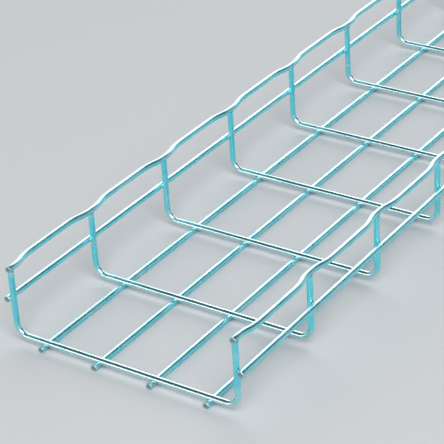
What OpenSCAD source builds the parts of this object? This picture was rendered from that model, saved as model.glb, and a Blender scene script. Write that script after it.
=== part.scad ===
// Wire mesh cable basket, one standard length.
// The rows' frame: X across the basket, Y along it, Z up, with the origin on the
// floor under the middle. Sizes are in millimetres.

/* [Basket] */
// Length, counted in spaces between cross wires
bays = 30; // [10:1:45]
// Space between neighbouring cross wires
cross_pitch = 100; // [90:5:120]
// Width, from the centreline of one side to the centreline of the other
side_spacing = 200.5; // [185:0.5:220]
// Height of the top wires over the cross wires, centre to centre
side_height = 57.5; // [50:0.5:75]

/* [Wire] */
// Diameter of every wire
wire_diameter = 5; // [4:0.5:6]
// Centreline radius of the cross wires' bends
bend_radius = 10; // [8:0.5:15]
// Depth to which a weld presses one wire into the next
weld_sink = 0.4; // [0.2:0.1:0.6]

/* [Lengthwise wires] */
// Space between neighbouring bottom wires
bottom_pitch = 50; // [42:0.5:55]
// Height of the side wires over the cross wires, centre to centre
side_wire_height = 30.5; // [26:0.5:36]
// Length by which the bottom wires run past the last cross wires
bottom_overhang = 5; // [3:0.5:12]
// Length by which the side wires run past the last cross wires
side_overhang = 2.5; // [2:0.5:12]

/* [Top edge] */
// Distance by which the wave carries a top wire outwards between its welds
wave_swing = 3.4; // [2:0.1:5]
// Distance of a top wire's centre inside the legs' centres at its welds
weld_inset = 0.1; // [0:0.1:1.5]
// Length of the wave's rise on each side of a weld
rise_length = 24; // [18:1:32]
// Straight length on each side of a weld
weld_flat = 3; // [3:0.5:6]
// Share of the rise's curve that turns outwards, next to the weld
inner_share = 0.4; // [0.3:0.05:0.6]

/* [Hidden] */
$fn = 48;
wire_sides = 10;
arc_steps = 2;
bottom_count = 4;
wire_radius = wire_diameter / 2;
seat = wire_diameter - weld_sink;

run_length = bays * cross_pitch;
first_y = -run_length / 2;
leg_x = side_spacing / 2;
side_x = leg_x + seat;
bottom_z = wire_radius;
cross_z = bottom_z + seat;
side_z = cross_z + side_wire_height;
top_z = cross_z + side_height;
leg_end_z = top_z - wire_radius + weld_sink;

rise_angle = 2 * atan(wave_swing / rise_length);
rise_radii = rise_length / sin(rise_angle);
inner_radius = rise_radii * inner_share;
outer_radius = rise_radii - inner_radius;
weld_x = leg_x - weld_inset;
wave_x = weld_x + wave_swing;
rise_end = weld_flat + rise_length;

sides = ["left", "right"];
function side_sign(side) = side == "left" ? -1 : 1;
function two_digits(n) = n < 10 ? str("0", n) : str(n);
function cross_name(n) = str("cross_wire_", two_digits(n));
function bottom_name(n) = str("bottom_wire_", n);
function cross_y(n) = first_y + (n - 1) * cross_pitch;
function bottom_x(n) = (n - (bottom_count + 1) / 2) * bottom_pitch;

// A straight wire along Y, from one place to another.
module wire_along_y(from_y, to_y) {
    translate([0, from_y, 0])
        rotate([-90, 0, 0])
            cylinder(r = wire_radius, h = to_y - from_y);
}

// A bent stretch of wire in the XY plane, round the origin.
module bent_wire(radius, from_angle, turn) {
    rotate([0, 0, from_angle])
        rotate_extrude(angle = turn)
            translate([radius, 0])
                circle(r = wire_radius);
}

// One leg of a cross wire with the bend at its foot, on the right-hand side.
module cross_wire_leg() {
    translate([leg_x, 0, cross_z + bend_radius])
        cylinder(r = wire_radius, h = leg_end_z - cross_z - bend_radius);
    translate([leg_x - bend_radius, 0, cross_z + bend_radius])
        rotate([90, 0, 0])
            bent_wire(bend_radius, 270, 90);
}

// A cross wire: one wire bent to a U, its ends coped to the top wires.
module cross_wire(n) {
    color("lightsteelblue")
        translate([0, cross_y(n), 0])
            difference() {
                union() {
                    translate([bend_radius - leg_x, 0, cross_z])
                        rotate([0, 90, 0])
                            cylinder(r = wire_radius, h = 2 * (leg_x - bend_radius));
                    cross_wire_leg();
                    mirror([1, 0, 0])
                        cross_wire_leg();
                }
                for (side = sides)
                    translate([side_sign(side) * weld_x, 0, top_z])
                        wire_along_y(-weld_flat, weld_flat);
            }
}

// A bottom wire, less the seats that its welds press into it.
module bottom_wire(n) {
    color("silver")
        translate([bottom_x(n), 0, bottom_z])
            difference() {
                wire_along_y(first_y - bottom_overhang, -first_y + bottom_overhang);
                for (k = [1 : bays + 1])
                    translate([-wire_diameter, cross_y(k), seat])
                        rotate([0, 90, 0])
                            cylinder(r = wire_radius, h = 2 * wire_diameter);
            }
}

// A side wire, seated against the legs in the same way.
module side_wire(side) {
    color("silver")
        translate([side_sign(side) * side_x, 0, side_z])
            difference() {
                wire_along_y(first_y - side_overhang, -first_y + side_overhang);
                for (k = [1 : bays + 1])
                    translate([-side_sign(side) * seat, cross_y(k), -wire_diameter])
                        cylinder(r = wire_radius, h = 2 * wire_diameter);
            }
}

// The wave's rise from a weld at Y = 0 on the right-hand side, as [x, y, heading]
// from +Y towards +X: an arc that turns outwards, then one that turns back.
function rise() = concat(
    [for (k = [0 : arc_steps])
        let (a = rise_angle * k / arc_steps)
            [weld_x + inner_radius * (1 - cos(a)), weld_flat + inner_radius * sin(a), a]],
    [for (k = [arc_steps - 1 : -1 : 0])
        let (a = rise_angle * k / arc_steps)
            [wave_x - outer_radius * (1 - cos(a)), rise_end - outer_radius * sin(a), a]]
);
function fall() = [for (k = [len(rise()) - 1 : -1 : 0])
    let (p = rise()[k]) [p[0], -p[1], -p[2]]];
function along(path, y) = [for (p = path) [p[0], p[1] + y, p[2]]];

// The whole centreline of the right-hand top wire.
top_path = concat(
    [[weld_x, first_y - wire_radius, 0]],
    [for (n = [1 : bays]) each concat(along(rise(), cross_y(n)), along(fall(), cross_y(n + 1)))],
    [[weld_x, -first_y + wire_radius, 0]]
);

// A wire swept along a path in the XY plane: one ring of points for each place on it.
module swept_wire(path) {
    n = wire_sides;
    last = len(path) - 1;
    points = [for (p = path) for (k = [0 : n - 1])
        let (across = wire_radius * cos(360 * k / n), up = wire_radius * sin(360 * k / n))
            [p[0] + across * cos(p[2]), p[1] - across * sin(p[2]), up]];
    walls = [for (i = [0 : last - 1]) for (k = [0 : n - 1])
        let (a = i * n + k, b = i * n + (k + 1) % n)
            each [[a, b, b + n], [a, b + n, a + n]]];
    polyhedron(points, concat(walls, [
        [for (k = [n - 1 : -1 : 0]) k],
        [for (k = [0 : n - 1]) last * n + k]
    ]));
}

// A top wire: it bows outwards between the cross wires and is welded on their ends.
module top_wire(side) {
    color("gainsboro")
        translate([0, 0, top_z])
            mirror([side == "left" ? 1 : 0, 0, 0])
                swept_wire(top_path);
}

for (n = [1 : bays + 1])
    cross_wire(n);
for (n = [1 : bottom_count])
    bottom_wire(n);
for (side = sides) {
    side_wire(side);
    top_wire(side);
}
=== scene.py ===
"""Dresses the wire mesh cable basket: zinc finish, weld collars, cut ends and the studio."""

import math

import bmesh
import bpy
from bpy.props import FloatProperty, FloatVectorProperty, IntProperty, PointerProperty
from mathutils import Matrix, Vector


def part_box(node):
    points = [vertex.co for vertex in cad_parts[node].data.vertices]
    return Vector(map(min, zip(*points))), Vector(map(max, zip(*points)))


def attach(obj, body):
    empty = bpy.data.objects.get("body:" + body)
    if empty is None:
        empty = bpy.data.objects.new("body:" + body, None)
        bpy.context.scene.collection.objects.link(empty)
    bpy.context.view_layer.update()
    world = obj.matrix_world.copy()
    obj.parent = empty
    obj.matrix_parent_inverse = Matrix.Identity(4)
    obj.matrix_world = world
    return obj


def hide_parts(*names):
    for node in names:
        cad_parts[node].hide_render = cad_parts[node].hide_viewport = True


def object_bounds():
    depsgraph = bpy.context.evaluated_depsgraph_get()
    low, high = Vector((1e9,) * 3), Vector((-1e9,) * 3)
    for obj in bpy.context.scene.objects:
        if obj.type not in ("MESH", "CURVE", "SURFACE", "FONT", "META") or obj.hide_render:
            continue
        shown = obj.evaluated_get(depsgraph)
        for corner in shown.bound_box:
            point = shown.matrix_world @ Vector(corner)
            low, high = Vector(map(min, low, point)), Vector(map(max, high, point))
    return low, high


bl_info = {
    "name": "Wire Mesh Cable Basket",
    "version": (1, 0, 0),
    "blender": (4, 5, 0),
    "location": "View3D > Sidebar > Basket",
    "description": "Dresses a zinc-plated wire basket and sets up its studio",
    "category": "Object",
}

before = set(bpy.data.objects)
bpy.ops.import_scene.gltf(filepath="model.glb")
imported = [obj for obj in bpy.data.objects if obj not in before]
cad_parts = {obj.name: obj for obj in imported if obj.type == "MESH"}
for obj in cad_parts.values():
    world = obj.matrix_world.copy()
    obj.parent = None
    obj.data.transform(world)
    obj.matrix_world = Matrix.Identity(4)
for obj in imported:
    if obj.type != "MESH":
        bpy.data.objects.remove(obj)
CAD_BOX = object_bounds()
MM = 0.001
BODY = "root"

CROSS = sorted(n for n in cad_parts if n.startswith("cross_wire_"))
BOTTOM = sorted(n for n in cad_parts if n.startswith("bottom_wire_"))
SIDE = ["side_wire_left", "side_wire_right"]
TOP = ["top_wire_left", "top_wire_right"]


def middle(node):
    low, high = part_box(node)
    return (low + high) / 2


# Places and sizes that every piece shares, read from the CAD nodes.
WIRE = (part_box(BOTTOM[0])[1].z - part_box(BOTTOM[0])[0].z) / 2
STATIONS = [middle(n).y for n in CROSS]
PITCH = STATIONS[1] - STATIONS[0]
CROSS_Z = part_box(CROSS[0])[0].z + WIRE
LEG_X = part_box(CROSS[0])[1].x - WIRE
LEG_END_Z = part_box(CROSS[0])[1].z
BOTTOM_X = [middle(n).x for n in BOTTOM]
BOTTOM_Z = middle(BOTTOM[0]).z
SIDE_X = middle(SIDE[1]).x
SIDE_Z = middle(SIDE[1]).z
TOP_Z = middle(TOP[1]).z
WELD_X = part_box(TOP[1])[0].x + WIRE
WAVE_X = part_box(TOP[1])[1].x - WIRE
TOP_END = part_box(TOP[1])[1].y
BOTTOM_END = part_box(BOTTOM[0])[1].y
SIDE_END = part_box(SIDE[0])[1].y


# ---------------------------------------------------------------- settings


class WireSettings(bpy.types.PropertyGroup):
    sides: IntProperty(
        name="Sides", description="Faces round a wire", default=24, min=8, max=48)
    bend_steps: IntProperty(
        name="Bend steps", description="Steps in each arc of the wave", default=5, min=2)
    rise: FloatProperty(
        name="Rise", description="Length of the wave's rise beside a weld",
        default=24 * MM, unit="LENGTH")
    weld_flat: FloatProperty(
        name="Weld flat", description="Straight wire on each side of a weld",
        default=3 * MM, unit="LENGTH")
    inner_share: FloatProperty(
        name="Inner share", description="Part of the rise that turns outwards",
        default=0.4, subtype="FACTOR")
    broken_edge: FloatProperty(
        name="Broken edge", description="Width by which the rim of a wire's end is rounded",
        default=0.3 * MM, unit="LENGTH")


class WeldSettings(bpy.types.PropertyGroup):
    reach: FloatProperty(
        name="Reach", description="Radius of the metal pressed out round a weld",
        default=2.5 * MM, unit="LENGTH")
    height: FloatProperty(
        name="Height", description="Half height of that metal where it meets the wires",
        default=1.1 * MM, unit="LENGTH")
    waist: FloatProperty(
        name="Waist", description="Part of the reach by which it draws in above and below",
        default=0.45, subtype="FACTOR")
    steps: IntProperty(
        name="Steps", description="Faces round a weld", default=16, min=8)
    rows: IntProperty(
        name="Rows", description="Faces up a weld's side", default=6, min=2)


class EndSettings(bpy.types.PropertyGroup):
    swell: FloatProperty(
        name="Swell", description="Radius of a sheared end against the wire's own",
        default=1.015, subtype="FACTOR")
    lip: FloatProperty(
        name="Lip", description="Width of the bright burr round a cut end",
        default=0.5 * MM, unit="LENGTH")
    stand: FloatProperty(
        name="Stand", description="Height of the burr over the drawn wire's end",
        default=0.4 * MM, unit="LENGTH")
    dish: FloatProperty(
        name="Dish", description="Depth of the cut face inside its burr",
        default=0.12 * MM, unit="LENGTH")
    slope: FloatProperty(
        name="Slope", description="Tilt that the shear leaves on the cut face",
        default=math.radians(3), subtype="ANGLE")


class FinishSettings(bpy.types.PropertyGroup):
    zinc: FloatVectorProperty(
        name="Zinc", description="Blue-passivated zinc plate",
        subtype="COLOR", size=4, min=0, max=1, default=(0.48, 0.82, 0.88, 1))
    # Painted reflection: a bluer colour laid on the wires' undersides and the cross wires' legs,
    # standing for blue surroundings seen in them.
    painted_blue_reflection: FloatVectorProperty(
        name="Drain", description="Bluer film on undersides and legs, where the bath drains last",
        subtype="COLOR", size=4, min=0, max=1, default=(0.13, 0.83, 0.94, 1))
    bar: FloatVectorProperty(
        name="Bar", description="Thinner, greyer film on the cross wires' level runs",
        subtype="COLOR", size=4, min=0, max=1, default=(0.56, 0.80, 0.83, 1))
    bloom: FloatVectorProperty(
        name="Bloom", description="Paler bloom in the plate",
        subtype="COLOR", size=4, min=0, max=1, default=(0.58, 0.86, 0.91, 1))
    shade: FloatVectorProperty(
        name="Shade", description="Deeper blue-green of a thick film",
        subtype="COLOR", size=4, min=0, max=1, default=(0.22, 0.64, 0.76, 1))
    scorch: FloatVectorProperty(
        name="Scorch", description="Plate dulled by the heat of a weld",
        subtype="COLOR", size=4, min=0, max=1, default=(0.38, 0.50, 0.50, 1))
    # Cut face colour: bare steel, partly its own darker tone and partly painted shade on the end
    # face.
    core: FloatVectorProperty(
        name="Core", description="Bare steel of a cut face",
        subtype="COLOR", size=4, min=0, max=1, default=(0.15, 0.21, 0.20, 1))


class StageSettings(bpy.types.PropertyGroup):
    floor: FloatVectorProperty(
        name="Floor", description="Floor and backdrop",
        subtype="COLOR", size=4, min=0, max=1, default=(0.64, 0.66, 0.68, 1))
    backdrop: FloatVectorProperty(
        name="Backdrop", description="Tint of the even light and of the far floor",
        subtype="COLOR", size=4, min=0, max=1, default=(0.96, 0.98, 1.0, 1))
    clearing: FloatProperty(
        name="Clearing", description="Distance from the middle at which the floor starts to fade",
        default=2.3, unit="LENGTH")
    faded: FloatProperty(
        name="Faded", description="Distance at which the floor has turned into the backdrop",
        default=4.5, unit="LENGTH")
    horizon: FloatProperty(
        name="Horizon", description="Strength of the even light from the sides", default=0.85)
    ceiling: FloatProperty(
        name="Ceiling", description="Strength of the even light from above", default=0.10)
    key: FloatProperty(
        name="Key", description="Power of the large lamp behind", default=265, unit="POWER")
    fill: FloatProperty(
        name="Fill", description="Power of the lamp in front", default=210, unit="POWER")
    glint: FloatProperty(
        name="Glint", description="Power of the low strip lamp", default=20, unit="POWER")
    lens: FloatProperty(
        name="Lens", description="Camera lens on a 36 mm sensor",
        default=152.02 * MM, unit="LENGTH")
    place: FloatVectorProperty(
        name="Place", description="Camera's place from the middle of the first cross wire",
        subtype="TRANSLATION", size=3, precision=5, default=(0.72740, -0.89262, 0.76806))
    azimuth: FloatProperty(
        name="Azimuth", description="Turn of the camera round the basket",
        default=math.radians(35.277), subtype="ANGLE")
    elevation: FloatProperty(
        name="Elevation", description="Angle of the camera over the floor",
        default=math.radians(29.492), subtype="ANGLE")
    roll: FloatProperty(
        name="Roll", description="Tilt of the camera about its own axis",
        default=math.radians(-3.706), subtype="ANGLE")


# --------------------------------------------------------------- materials


def new_material(name):
    material = bpy.data.materials.get(name)
    if material is None:
        material = bpy.data.materials.new(name)
    material.use_nodes = True
    tree = material.node_tree
    tree.nodes.clear()
    shader = tree.nodes.new("ShaderNodeBsdfPrincipled")
    output = tree.nodes.new("ShaderNodeOutputMaterial")
    tree.links.new(shader.outputs["BSDF"], output.inputs["Surface"])
    return material, tree, shader


def add_node(tree, kind, **settings):
    node = tree.nodes.new(kind)
    for name, value in settings.items():
        setattr(node, name, value)
    return node


def feed(tree, node, **inputs):
    """Sets or links a node's inputs, an underscore standing for a space."""
    for name, value in inputs.items():
        socket = node.inputs[name.replace("_", " ")]
        if isinstance(value, bpy.types.NodeSocket):
            tree.links.new(value, socket)
        else:
            socket.default_value = value


def mix_colour(tree, factor, first, second):
    node = add_node(tree, "ShaderNodeMix", data_type="RGBA")
    for index, value in ((0, factor), (6, first), (7, second)):
        if isinstance(value, bpy.types.NodeSocket):
            tree.links.new(value, node.inputs[index])
        else:
            node.inputs[index].default_value = value
    return node.outputs[2]


def maths(tree, operation, *values, clamp=False):
    node = add_node(tree, "ShaderNodeMath", operation=operation, use_clamp=clamp)
    for index, value in enumerate(values):
        if isinstance(value, bpy.types.NodeSocket):
            tree.links.new(value, node.inputs[index])
        else:
            node.inputs[index].default_value = value
    return node.outputs[0]


def new_group(name, inputs, outputs):
    group = bpy.data.node_groups.new(name, "ShaderNodeTree")
    for label, kind, default in inputs:
        socket = group.interface.new_socket(name=label, in_out="INPUT", socket_type=kind)
        if default is not None:
            socket.default_value = default
    for label, kind in outputs:
        group.interface.new_socket(name=label, in_out="OUTPUT", socket_type=kind)
    return group, group.nodes.new("NodeGroupInput"), group.nodes.new("NodeGroupOutput")


def zinc_plate_group():
    """Cloudy zinc plate: colour, roughness and a fine grain height from a place on the wire.

    The plate turns to bloom where the clouds are high and to shade where they are low.
    """
    group, gin, gout = new_group(
        "Zinc plate",
        [("Vector", "NodeSocketVector", None), ("Plate", "NodeSocketColor", None),
         ("Bloom", "NodeSocketColor", None), ("Shade", "NodeSocketColor", None),
         ("Cloud size", "NodeSocketFloat", 90.0), ("Roughness", "NodeSocketFloat", 0.3)],
        [("Color", "NodeSocketColor"), ("Roughness", "NodeSocketFloat"),
         ("Height", "NodeSocketFloat")])
    cloud = add_node(group, "ShaderNodeTexNoise")
    feed(
        group, cloud, Vector=gin.outputs["Vector"], Scale=gin.outputs["Cloud size"],
        Detail=4.0, Roughness=0.6)
    grain = add_node(group, "ShaderNodeTexNoise")
    feed(group, grain, Vector=gin.outputs["Vector"], Scale=1400.0, Detail=2.0)
    spangle = add_node(group, "ShaderNodeTexVoronoi")
    feed(group, spangle, Vector=gin.outputs["Vector"], Scale=700.0)
    bloom = add_node(group, "ShaderNodeMapRange")
    feed(group, bloom, Value=cloud.outputs[0], From_Min=0.48, From_Max=0.72)
    deep = add_node(group, "ShaderNodeMapRange")
    feed(group, deep, Value=cloud.outputs[0], From_Min=0.46, From_Max=0.28)
    colour = gin.outputs["Plate"]
    for mask, strength, tone in (
            (bloom.outputs[0], 0.75, "Bloom"), (deep.outputs[0], 0.6, "Shade"),
            (spangle.outputs["Distance"], 0.18, "Bloom")):
        share = maths(group, "MULTIPLY", mask, strength)
        colour = mix_colour(group, share, colour, gin.outputs[tone])
    rough = maths(group, "MULTIPLY_ADD", cloud.outputs[0], 0.22, -0.10)
    rough = maths(group, "ADD", rough, gin.outputs["Roughness"], clamp=True)
    group.links.new(colour, gout.inputs["Color"])
    group.links.new(rough, gout.inputs["Roughness"])
    group.links.new(grain.outputs[0], gout.inputs["Height"])
    return group


def drawn_group():
    """Die lines left along a drawn wire: a height from a place with its long axis squeezed."""
    group, gin, gout = new_group(
        "Drawn lines",
        [("Vector", "NodeSocketVector", None), ("Squeeze", "NodeSocketVector", None)],
        [("Height", "NodeSocketFloat")])
    squeezed = add_node(group, "ShaderNodeVectorMath", operation="MULTIPLY")
    group.links.new(gin.outputs["Vector"], squeezed.inputs[0])
    group.links.new(gin.outputs["Squeeze"], squeezed.inputs[1])
    lines = add_node(group, "ShaderNodeTexNoise")
    feed(group, lines, Vector=squeezed.outputs[0], Scale=2600.0, Detail=3.0, Roughness=0.65)
    group.links.new(lines.outputs[0], gout.inputs["Height"])
    return group


def weld_heat_group():
    """A mask that is 1 at each crossing along Y and fades out over the reach."""
    group, gin, gout = new_group(
        "Weld heat",
        [("Vector", "NodeSocketVector", None), ("First", "NodeSocketFloat", 0.0),
         ("Pitch", "NodeSocketFloat", 0.1), ("Reach", "NodeSocketFloat", 0.006)],
        [("Mask", "NodeSocketFloat")])
    parts = add_node(group, "ShaderNodeSeparateXYZ")
    group.links.new(gin.outputs["Vector"], parts.inputs[0])
    along = maths(group, "SUBTRACT", parts.outputs["Y"], gin.outputs["First"])
    wrapped = maths(group, "PINGPONG", along, maths(group, "MULTIPLY", gin.outputs["Pitch"], 0.5))
    share = maths(group, "DIVIDE", wrapped, gin.outputs["Reach"])
    mask = maths(group, "SUBTRACT", 1.0, share, clamp=True)
    group.links.new(maths(group, "POWER", mask, 1.5), gout.inputs["Mask"])
    return group


def place_group(tree, group, **inputs):
    node = add_node(tree, "ShaderNodeGroup", node_tree=group)
    feed(tree, node, **inputs)
    return node


def zinc_material(name, squeeze, cloud, roughness, heat, bent=False):
    """Zinc-plated wire whose die lines run along the axis that squeeze leaves long.

    A painted blue reflection deepens the colour on a straight wire's underside, where its normal
    points down, and on a bent wire's legs.
    """
    finish = bpy.context.scene.basket_finish
    material, tree, shader = new_material(name)
    coords = add_node(tree, "ShaderNodeTexCoord")
    place = coords.outputs["Object"]
    parts = add_node(tree, "ShaderNodeSeparateXYZ")
    tree.links.new(place if bent else coords.outputs["Normal"], parts.inputs[0])
    # Painted reflection: film is a mask from the plain plate (up-facing surfaces, or a bent wire's
    # level run) to the painted blue on undersides and legs, between the bounds thin and thick; zinc
    # then holds the plate with that painted blue mixed in.
    thin, thick = (CROSS_Z + WIRE, CROSS_Z + 5 * WIRE) if bent else (0.9, 0.3)
    film = add_node(tree, "ShaderNodeMapRange")
    feed(tree, film, Value=parts.outputs["Z"], From_Min=thin, From_Max=thick)
    zinc = mix_colour(tree, film.outputs[0], finish.bar if bent else finish.zinc, finish.painted_blue_reflection)
    plate = place_group(
        tree, GROUPS["zinc"], Vector=place, Plate=zinc, Bloom=finish.bloom,
        Shade=finish.shade, Cloud_size=cloud, Roughness=roughness)
    lines = place_group(tree, GROUPS["drawn"], Vector=place, Squeeze=squeeze)
    colour = plate.outputs["Color"]
    if heat > 0:
        mask = place_group(
            tree, GROUPS["heat"], Vector=place, First=STATIONS[0], Pitch=PITCH, Reach=6 * MM)
        share = maths(tree, "MULTIPLY", mask.outputs[0], heat)
        colour = mix_colour(tree, share, colour, finish.scorch)
    scored = maths(tree, "MULTIPLY", lines.outputs[0], 1.5)
    height = maths(tree, "ADD", plate.outputs["Height"], scored)
    bump = add_node(tree, "ShaderNodeBump")
    feed(tree, bump, Strength=0.025, Distance=0.05 * MM, Height=height)
    feed(
        tree, shader, Base_Color=colour, Roughness=plate.outputs["Roughness"],
        Normal=bump.outputs[0], Metallic=1.0, Coat_Weight=0.35, Coat_Roughness=0.12)
    return material


def weld_material():
    finish = bpy.context.scene.basket_finish
    material, tree, shader = new_material("Weld metal")
    place = add_node(tree, "ShaderNodeTexCoord").outputs["Object"]
    plate = place_group(
        tree, GROUPS["zinc"], Vector=place, Plate=finish.zinc, Bloom=finish.bloom,
        Shade=finish.scorch, Cloud_size=420.0, Roughness=0.42)
    bump = add_node(tree, "ShaderNodeBump")
    feed(tree, bump, Strength=0.6, Distance=0.12 * MM, Height=plate.outputs["Height"])
    colour = mix_colour(tree, 0.35, plate.outputs["Color"], finish.scorch)
    feed(
        tree, shader, Base_Color=colour, Roughness=plate.outputs["Roughness"],
        Normal=bump.outputs[0], Metallic=1.0)
    return material


def cut_material():
    """Bare sheared steel with the shear's fine parallel scores, its dark colour partly the steel's
    own and partly painted shade on the end face.
    """
    finish = bpy.context.scene.basket_finish
    material, tree, shader = new_material("Cut steel")
    place = add_node(tree, "ShaderNodeTexCoord").outputs["Object"]
    scores = place_group(tree, GROUPS["drawn"], Vector=place, Squeeze=(1.0, 1.0, 0.12))
    lit = tuple(min(1.0, c * 1.8) for c in finish.core[:3]) + (1.0,)
    colour = mix_colour(tree, scores.outputs[0], finish.core, lit)
    bump = add_node(tree, "ShaderNodeBump")
    feed(tree, bump, Strength=0.5, Distance=0.08 * MM, Height=scores.outputs[0])
    feed(
        tree, shader, Base_Color=colour, Roughness=0.6, Normal=bump.outputs[0], Metallic=0.6)
    return material


GROUPS = {}
MATERIALS = {}


def dress(obj, material):
    """Gives an object one finish in place of what it had."""
    obj.data.materials.clear()
    obj.data.materials.append(material)


# ------------------------------------------------------------------ meshes


def piece_from(bm, name, slot, *materials):
    """Makes a smooth piece of a bmesh and rides it on the basket's body; its slot is not used."""
    mesh = bpy.data.meshes.new(name)
    for material in materials:
        mesh.materials.append(material)
    bm.to_mesh(mesh)
    bm.free()
    mesh.shade_smooth()
    obj = bpy.data.objects.new(name, mesh)
    bpy.context.collection.objects.link(obj)
    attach(obj, BODY)
    return obj


def ring_across_y(bm, centre, radius, sides):
    """A ring of edges round a wire that runs along Y."""
    turn = Matrix.Translation(centre) @ Matrix.Rotation(-math.pi / 2, 4, "X")
    verts = bmesh.ops.create_circle(bm, segments=sides, radius=radius, matrix=turn)["verts"]
    return list({edge for vert in verts for edge in vert.link_edges})


def run_straight(bm, ring, step):
    """Draws the ring out straight and returns the new ring."""
    grown = bmesh.ops.extrude_edge_only(bm, edges=ring)["geom"]
    verts = {g for g in grown if isinstance(g, bmesh.types.BMVert)}
    bmesh.ops.translate(bm, verts=list(verts), vec=step)
    return [g for g in grown if isinstance(g, bmesh.types.BMEdge) and verts.issuperset(g.verts)]


def run_bend(bm, ring, centre, angle, steps):
    """Carries the ring round an upright axis, as a bender does."""
    last = bmesh.ops.spin(
        bm, geom=ring, cent=centre, axis=(0, 0, 1), angle=angle, steps=steps,
        use_merge=False, use_duplicate=False)["geom_last"]
    return [g for g in last if isinstance(g, bmesh.types.BMEdge)]


def close_ends(bm, width):
    """Closes both ends and rounds their rims."""
    rims = [e for e in bm.edges if e.is_boundary]
    caps = bmesh.ops.holes_fill(bm, edges=rims, sides=0)["faces"]
    bmesh.ops.bevel(
        bm, geom=list({e for f in caps for e in f.edges}), offset=width, segments=2,
        profile=0.5, affect="EDGES", material=-1)
    bmesh.ops.recalc_face_normals(bm, faces=bm.faces)


def top_wire_mesh(sign):
    """A waved wire: over each weld straight, then an outward and a return arc to the bay's run."""
    wire = bpy.context.scene.basket_wire
    swing = WAVE_X - WELD_X
    angle = 2 * math.atan(swing / wire.rise)
    radii = wire.rise / math.sin(angle)
    inner = radii * wire.inner_share
    outer = radii - inner
    long_run = PITCH - 2 * (wire.weld_flat + wire.rise)
    bm = bmesh.new()
    ring = ring_across_y(bm, (sign * WELD_X, -TOP_END, TOP_Z), WIRE, wire.sides)

    def outward(ring, y):
        centre = (sign * (WELD_X + inner), y, TOP_Z)
        return run_bend(bm, ring, centre, -sign * angle, wire.bend_steps)

    def returning(ring, y):
        centre = (sign * (WAVE_X - outer), y, TOP_Z)
        return run_bend(bm, ring, centre, sign * angle, wire.bend_steps)

    lead = STATIONS[0] + TOP_END
    for station in STATIONS[:-1]:
        ring = run_straight(bm, ring, (0, lead + wire.weld_flat, 0))
        lead = 0
        y = station + wire.weld_flat
        ring = outward(ring, y)
        y += wire.rise
        ring = returning(ring, y)
        ring = run_straight(bm, ring, (0, long_run, 0))
        y += long_run
        ring = returning(ring, y)
        y += wire.rise
        ring = outward(ring, y)
        ring = run_straight(bm, ring, (0, wire.weld_flat, 0))
    run_straight(bm, ring, (0, TOP_END - STATIONS[-1], 0))
    close_ends(bm, wire.broken_edge)
    return bm


def weld_collar():
    """One weld's pressed-out metal, round Z: a collar that bulges between two crossing wires."""
    weld = bpy.context.scene.basket_weld
    bm = bmesh.new()
    profile = []
    for row in range(weld.rows + 1):
        up = row / weld.rows * 2 - 1
        out = weld.reach * (1 - weld.waist * abs(up) ** 1.6)
        profile.append(bm.verts.new((out, 0, weld.height * up)))
    edges = [bm.edges.new(pair) for pair in zip(profile, profile[1:])]
    bmesh.ops.spin(
        bm, geom=profile + edges, cent=(0, 0, 0), axis=(0, 0, 1), angle=math.tau,
        steps=weld.steps, use_merge=True, use_duplicate=False)
    bmesh.ops.remove_doubles(bm, verts=bm.verts, dist=0.001 * MM)
    bmesh.ops.holes_fill(bm, edges=[e for e in bm.edges if e.is_boundary], sides=0)
    bmesh.ops.recalc_face_normals(bm, faces=bm.faces)
    mesh = bpy.data.meshes.new("weld_collar")
    bm.to_mesh(mesh)
    bm.free()
    return mesh


def strew(template, places):
    """Copies a small mesh to each place and returns them as one bmesh."""
    bm = bmesh.new()
    for place in places:
        before = len(bm.verts)
        bm.from_mesh(template)
        bm.verts.ensure_lookup_table()
        bmesh.ops.transform(bm, matrix=place, verts=bm.verts[before:])
    return bm


def cut_end(sides):
    """A sheared end facing -Y: a bright lip round a sunk, slightly sloping face."""
    ends = bpy.context.scene.basket_ends
    radius = WIRE * ends.swell
    bm = bmesh.new()
    turn = Matrix.Rotation(math.pi / 2, 4, "X")
    bmesh.ops.create_circle(bm, cap_ends=True, segments=sides, radius=radius, matrix=turn)
    face = bm.faces[:]
    bmesh.ops.inset_region(bm, faces=face, thickness=ends.lip, depth=0, use_boundary=True)
    inner = max(bm.faces, key=lambda f: len(f.verts))
    tilt = Matrix.Rotation(ends.slope, 4, "X")
    bmesh.ops.transform(bm, matrix=tilt, verts=inner.verts[:])
    bmesh.ops.translate(bm, verts=inner.verts[:], vec=(0, ends.dish, 0))
    bmesh.ops.translate(bm, verts=bm.verts[:], vec=(0, -ends.stand, 0))
    inner.material_index = 1
    skirt = [e for e in bm.edges if e.is_boundary]
    grown = bmesh.ops.extrude_edge_only(bm, edges=skirt)["geom"]
    verts = [g for g in grown if isinstance(g, bmesh.types.BMVert)]
    bmesh.ops.translate(bm, verts=verts, vec=(0, 2 * ends.stand, 0))
    bmesh.ops.recalc_face_normals(bm, faces=bm.faces)
    mesh = bpy.data.meshes.new("cut_end")
    bm.to_mesh(mesh)
    bm.free()
    return mesh


# --------------------------------------------------------------- operators


class BasketOperator(bpy.types.Operator):
    bl_options = {"REGISTER", "UNDO"}


class BASKET_OT_finishes(BasketOperator):
    """Make the zinc, weld and cut steel materials"""

    bl_idname = "basket.finishes"
    bl_label = "Finishes"

    def execute(self, context):
        GROUPS.update(zinc=zinc_plate_group(), drawn=drawn_group(), heat=weld_heat_group())
        MATERIALS.update(
            cross=zinc_material("Zinc cross wire", (0.06, 1.0, 1.0), 70.0, 0.24, 0.0, bent=True),
            bottom=zinc_material("Zinc bottom wire", (1.0, 0.02, 1.0), 60.0, 0.27, 0.5),
            side=zinc_material("Zinc side wire", (1.0, 0.02, 1.0), 55.0, 0.27, 0.5),
            top=zinc_material("Zinc top wire", (1.0, 0.05, 1.0), 65.0, 0.29, 0.5),
            weld=weld_material(), cut=cut_material())
        return {"FINISHED"}


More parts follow.
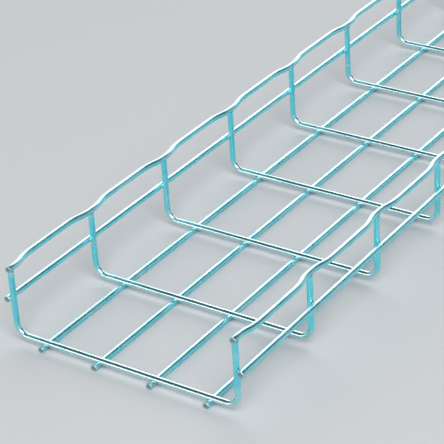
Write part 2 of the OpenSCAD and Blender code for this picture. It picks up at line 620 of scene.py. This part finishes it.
class BASKET_OT_straight_wires(BasketOperator):
    """Dress the cross, bottom and side wires"""

    bl_idname = "basket.straight_wires"
    bl_label = "Cross, bottom and side wires"

    def execute(self, context):
        for names, key in ((CROSS, "cross"), (BOTTOM, "bottom"), (SIDE, "side")):
            for name in names:
                dress(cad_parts[name], MATERIALS[key])
        return {"FINISHED"}


class BASKET_OT_top_wires(BasketOperator):
    """Bend the two waved top wires"""

    bl_idname = "basket.top_wires"
    bl_label = "Top wires"

    def execute(self, context):
        for name, sign in zip(TOP, (-1, 1)):
            piece = piece_from(top_wire_mesh(sign), "waved_" + name, "top_wires", MATERIALS["top"])
            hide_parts(name)
        return {"FINISHED"}


class BASKET_OT_welds(BasketOperator):
    """Put the pressed-out metal at every weld"""

    bl_idname = "basket.welds"
    bl_label = "Welds"

    def execute(self, context):
        collar = weld_collar()
        bottom_z = (BOTTOM_Z + CROSS_Z) / 2
        side_x = (LEG_X + SIDE_X) / 2
        upright = Matrix.Rotation(math.pi / 2, 4, "Y")
        top_x = (LEG_X + WELD_X) / 2
        top_z = LEG_END_Z - 0.5 * MM
        both = [(sign, y) for y in STATIONS for sign in (-1, 1)]
        for name, slot, places in (
                ("bottom_welds", "bottom_wires",
                 [Matrix.Translation((x, y, bottom_z)) for y in STATIONS for x in BOTTOM_X]),
                ("side_welds", "side_wires",
                 [Matrix.Translation((sign * side_x, y, SIDE_Z)) @ upright for sign, y in both]),
                ("top_welds", "top_wires",
                 [Matrix.Translation((sign * top_x, y, top_z)) for sign, y in both])):
            piece_from(strew(collar, places), name, slot, MATERIALS["weld"])
        return {"FINISHED"}


class BASKET_OT_cut_ends(BasketOperator):
    """Shear the ends of the lengthwise wires"""

    bl_idname = "basket.cut_ends"
    bl_label = "Cut ends"

    def execute(self, context):
        template = cut_end(context.scene.basket_wire.sides)
        turn = Matrix.Rotation(math.pi, 4, "Z")
        for name, slot, across, z, reach in (
                ("bottom_wire_ends", "bottom_wires", BOTTOM_X, BOTTOM_Z, BOTTOM_END),
                ("side_wire_ends", "side_wires", (-SIDE_X, SIDE_X), SIDE_Z, SIDE_END),
                ("top_wire_ends", "top_wires", (-WELD_X, WELD_X), TOP_Z, TOP_END)):
            places = [Matrix.Translation((x, -reach, z)) for x in across]
            places += [Matrix.Translation((x, reach, z)) @ turn for x in across]
            piece_from(strew(template, places), name, slot, MATERIALS["weld"], MATERIALS["cut"])
        return {"FINISHED"}


class BASKET_OT_stage(BasketOperator):
    """Set up the floor, the lamps and the camera"""

    bl_idname = "basket.stage"
    bl_label = "Stage"

    def lamp(self, name, place, aim, size, power):
        data = bpy.data.lights.new(name, "AREA")
        data.shape = "RECTANGLE"
        data.size, data.size_y = size
        data.energy = power
        obj = bpy.data.objects.new(name, data)
        obj.location = place
        obj.rotation_euler = (Vector(aim) - Vector(place)).to_track_quat("-Z", "Y").to_euler()
        obj.visible_camera = False
        bpy.context.collection.objects.link(obj)

    def execute(self, context):
        stage = context.scene.basket_stage
        material, tree, shader = new_material("Pale floor")
        feed(tree, shader, Base_Color=stage.floor, Roughness=0.85)
        away = add_node(tree, "ShaderNodeVectorMath", operation="LENGTH")
        tree.links.new(add_node(tree, "ShaderNodeTexCoord").outputs["Object"], away.inputs[0])
        fade = add_node(tree, "ShaderNodeMapRange", interpolation_type="SMOOTHSTEP")
        feed(tree, fade, Value=away.outputs["Value"], From_Min=stage.clearing, From_Max=stage.faded)
        ray = add_node(tree, "ShaderNodeLightPath").outputs
        seen = maths(tree, "MAXIMUM", ray["Is Camera Ray"], ray["Is Glossy Ray"])
        glow = add_node(tree, "ShaderNodeEmission")
        feed(tree, glow, Color=stage.backdrop, Strength=stage.horizon)
        blend = add_node(tree, "ShaderNodeMixShader")
        tree.links.new(maths(tree, "MULTIPLY", fade.outputs[0], seen), blend.inputs[0])
        tree.links.new(shader.outputs[0], blend.inputs[1])
        tree.links.new(glow.outputs[0], blend.inputs[2])
        tree.links.new(blend.outputs[0], tree.nodes["Material Output"].inputs["Surface"])
        bm = bmesh.new()
        bmesh.ops.create_grid(bm, x_segments=2, y_segments=2, size=12.0)
        mesh = bpy.data.meshes.new("floor")
        bm.to_mesh(mesh)
        bm.free()
        floor = bpy.data.objects.new("floor", mesh)
        floor.location = (0, 0, CAD_BOX[0].z)
        context.collection.objects.link(floor)
        dress(floor, material)

        world = bpy.data.worlds.new("Studio")
        context.scene.world = world
        world.use_nodes = True
        tree = world.node_tree
        background = tree.nodes["Background"]
        background.inputs["Color"].default_value = stage.backdrop
        way = add_node(tree, "ShaderNodeSeparateXYZ")
        tree.links.new(add_node(tree, "ShaderNodeTexCoord").outputs["Generated"], way.inputs[0])
        dome = add_node(tree, "ShaderNodeMapRange")
        feed(
            tree, dome, Value=way.outputs["Z"], From_Max=0.5,
            To_Min=stage.horizon, To_Max=stage.ceiling)
        tree.links.new(dome.outputs[0], background.inputs["Strength"])
        near = Vector((0, STATIONS[0] + 0.3, 0))
        self.lamp("key", near + Vector((-2.4, 5.1, 3.25)), near, (7.5, 4.5), stage.key)
        self.lamp("fill", near + Vector((2.3, -2.8, 3.5)), near, (3.5, 3.5), stage.fill)
        self.lamp("glint", near + Vector((-2.0, -3.3, 0.7)), near, (2.4, 0.8), stage.glint)

        data = bpy.data.cameras.new("camera")
        data.lens = stage.lens / MM
        data.clip_end = 60
        camera = bpy.data.objects.new("camera", data)
        place = Vector((0, STATIONS[0], CROSS_Z)) + Vector(stage.place)
        turn = Matrix.Rotation(stage.azimuth, 4, "Z")
        turn = turn @ Matrix.Rotation(math.pi / 2 - stage.elevation, 4, "X")
        turn = turn @ Matrix.Rotation(stage.roll, 4, "Z")
        camera.matrix_world = Matrix.Translation(place) @ turn
        context.collection.objects.link(camera)
        context.scene.camera = camera
        context.scene.view_settings.view_transform = "Standard"
        return {"FINISHED"}


class BASKET_PT_panel(bpy.types.Panel):
    """The basket's pieces, in the order in which they are made"""

    bl_idname = "BASKET_PT_panel"
    bl_label = "Cable basket"
    bl_space_type = "VIEW_3D"
    bl_region_type = "UI"
    bl_category = "Basket"

    def draw(self, context):
        for operator in STEPS:
            self.layout.operator(operator.bl_idname)


STEPS = [
    BASKET_OT_finishes,
    BASKET_OT_straight_wires,
    BASKET_OT_top_wires,
    BASKET_OT_welds,
    BASKET_OT_cut_ends,
    BASKET_OT_stage,
]
SETTINGS = {
    "basket_wire": WireSettings,
    "basket_weld": WeldSettings,
    "basket_ends": EndSettings,
    "basket_finish": FinishSettings,
    "basket_stage": StageSettings,
}


def register():
    for item in [*SETTINGS.values(), *STEPS, BASKET_PT_panel]:
        bpy.utils.register_class(item)
    for name, group in SETTINGS.items():
        setattr(bpy.types.Scene, name, PointerProperty(type=group))


def unregister():
    for name in SETTINGS:
        delattr(bpy.types.Scene, name)
    for item in reversed([*SETTINGS.values(), *STEPS, BASKET_PT_panel]):
        bpy.utils.unregister_class(item)


def main():
    register()
    for operator in STEPS:
        area, name = operator.bl_idname.split(".")
        getattr(getattr(bpy.ops, area), name)()


if __name__ == "__main__":
    main()
